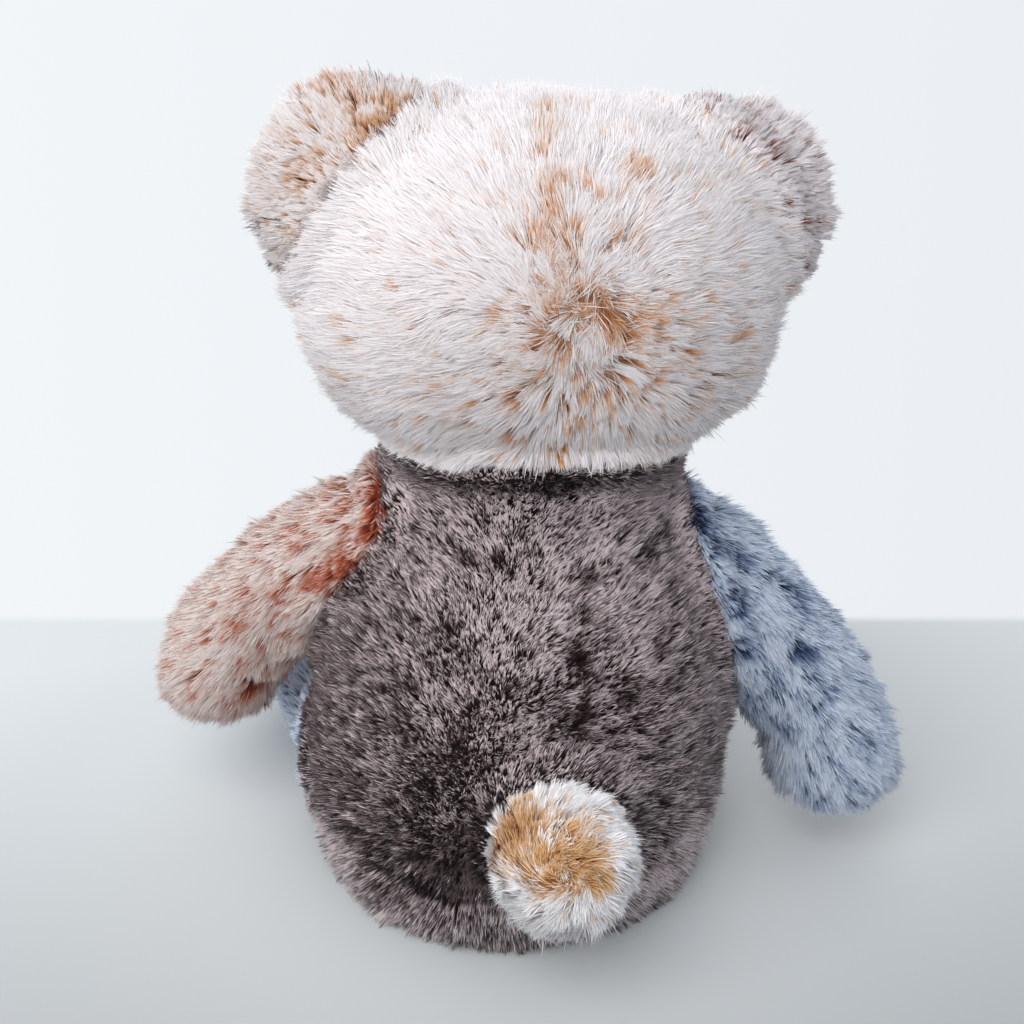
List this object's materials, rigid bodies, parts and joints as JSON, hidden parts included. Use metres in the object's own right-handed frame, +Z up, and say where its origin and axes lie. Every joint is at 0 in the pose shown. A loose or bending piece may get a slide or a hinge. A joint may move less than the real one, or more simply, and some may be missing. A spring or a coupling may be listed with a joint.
{
  "type": "teddy bear",
  "caption": "Sitting teddy bear soft toy in patchwork tipped plush, with stuffed limbs, round ears and a puff tail.",
  "frame": {"origin": "middle of the flat of the seat, on the surface that the bear sits on", "axes": "+Z up, the bear faces -Y, its left side is +X"},
  "size_m": [0.2294, 0.1869, 0.2436],
  "materials": {
    "cream_plush": "long tipped plush, cream tips over tan roots",
    "beige_plush": "long tipped plush, beige tips over brown roots",
    "dark_rust_plush": "long tipped plush, pale tips over dark rust roots",
    "rust_plush": "long tipped plush, pink-grey tips over rust roots",
    "blue_plush": "long tipped plush, pale blue tips over slate roots",
    "brown_plush": "long tipped plush, grey tips over dark brown roots",
    "tan_plush": "long tipped plush, white tips over tan roots",
    "sole_velour": "short velour",
    "nose_velour": "short velour, padded",
    "eye_plastic": "polished",
    "washer_plastic": "moulded",
    "polyester_fill": "loose fibre fill",
    "pellet_cotton": "plain cotton bag of plastic pellets"
  },
  "bodies": {
    "root": {"head_cover": "cream_plush", "head_stuffing": "polyester_fill", "muzzle": "cream_plush", "nose": "nose_velour", "eye_left": "eye_plastic", "eye_right": "eye_plastic", "eye_washer_left": "washer_plastic", "eye_washer_right": "washer_plastic", "ear_left_back": "beige_plush", "ear_left_front": "beige_plush", "ear_right_back": "dark_rust_plush", "ear_right_front": "dark_rust_plush", "body_cover": "brown_plush", "body_stuffing": "polyester_fill", "pellet_bag": "pellet_cotton", "arm_left_cover": "rust_plush", "arm_left_stuffing": "polyester_fill", "arm_right_cover": "blue_plush", "arm_right_stuffing": "polyester_fill", "leg_left_cover": "blue_plush", "leg_left_stuffing": "polyester_fill", "leg_right_cover": "rust_plush", "leg_right_stuffing": "polyester_fill", "foot_pad_left": "sole_velour", "foot_pad_right": "sole_velour", "tail": "tan_plush"}
  },
  "joints": []
}
